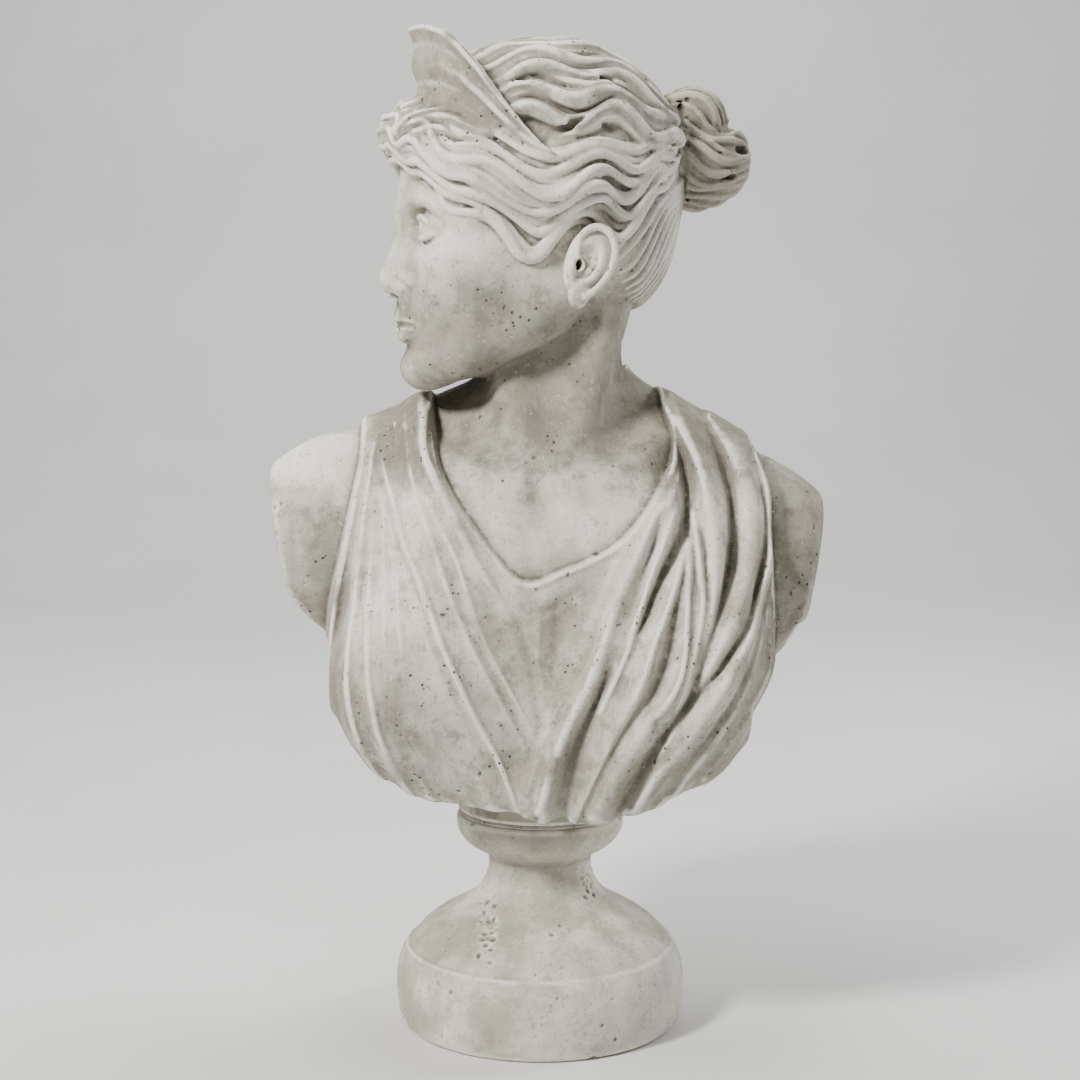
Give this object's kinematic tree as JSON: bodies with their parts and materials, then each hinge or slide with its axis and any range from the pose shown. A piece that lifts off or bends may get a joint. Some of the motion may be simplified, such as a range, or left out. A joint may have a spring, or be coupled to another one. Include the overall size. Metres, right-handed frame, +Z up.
{
  "type": "portrait bust on a turned socle",
  "caption": "Classical draped female bust with a crescent diadem and a knot of hair, cast in stone and bolted to a round turned socle.",
  "frame": {"origin": "centre of the socle's flat underside, on the axis of the mounting stud", "axes": "+Z up along the mounting stud; the chest faces -Y; the head looks towards -X; the knot of hair is on the +X side"},
  "size_m": [0.385, 0.2211, 0.6992],
  "materials": {
    "cast_stone": "matt cast stone, pale warm grey, pinholed, with grime in its creases",
    "knot_stone": "rougher and greyer cast stone, unsanded",
    "socle_stone": "matt cast stone with mould marks and chipped edges",
    "mortar": "sandy lime mortar, wiped flush",
    "dowel_steel": "plain stainless dowel",
    "bar_steel": "reinforcing bar with a film of rust",
    "zinc_steel": "zinc-plated steel, dull"
  },
  "bodies": {
    "root": {"bust_casting": "cast_stone", "hair_knot": "knot_stone", "socle": "socle_stone", "bedding_mortar": "mortar", "knot_mortar": "mortar", "recess_plug": "mortar", "knot_dowel": "dowel_steel", "neck_bar": "bar_steel", "stud_coupler": "zinc_steel", "mounting_stud": "zinc_steel", "washer": "zinc_steel", "hex_nut": "zinc_steel"}
  },
  "joints": []
}
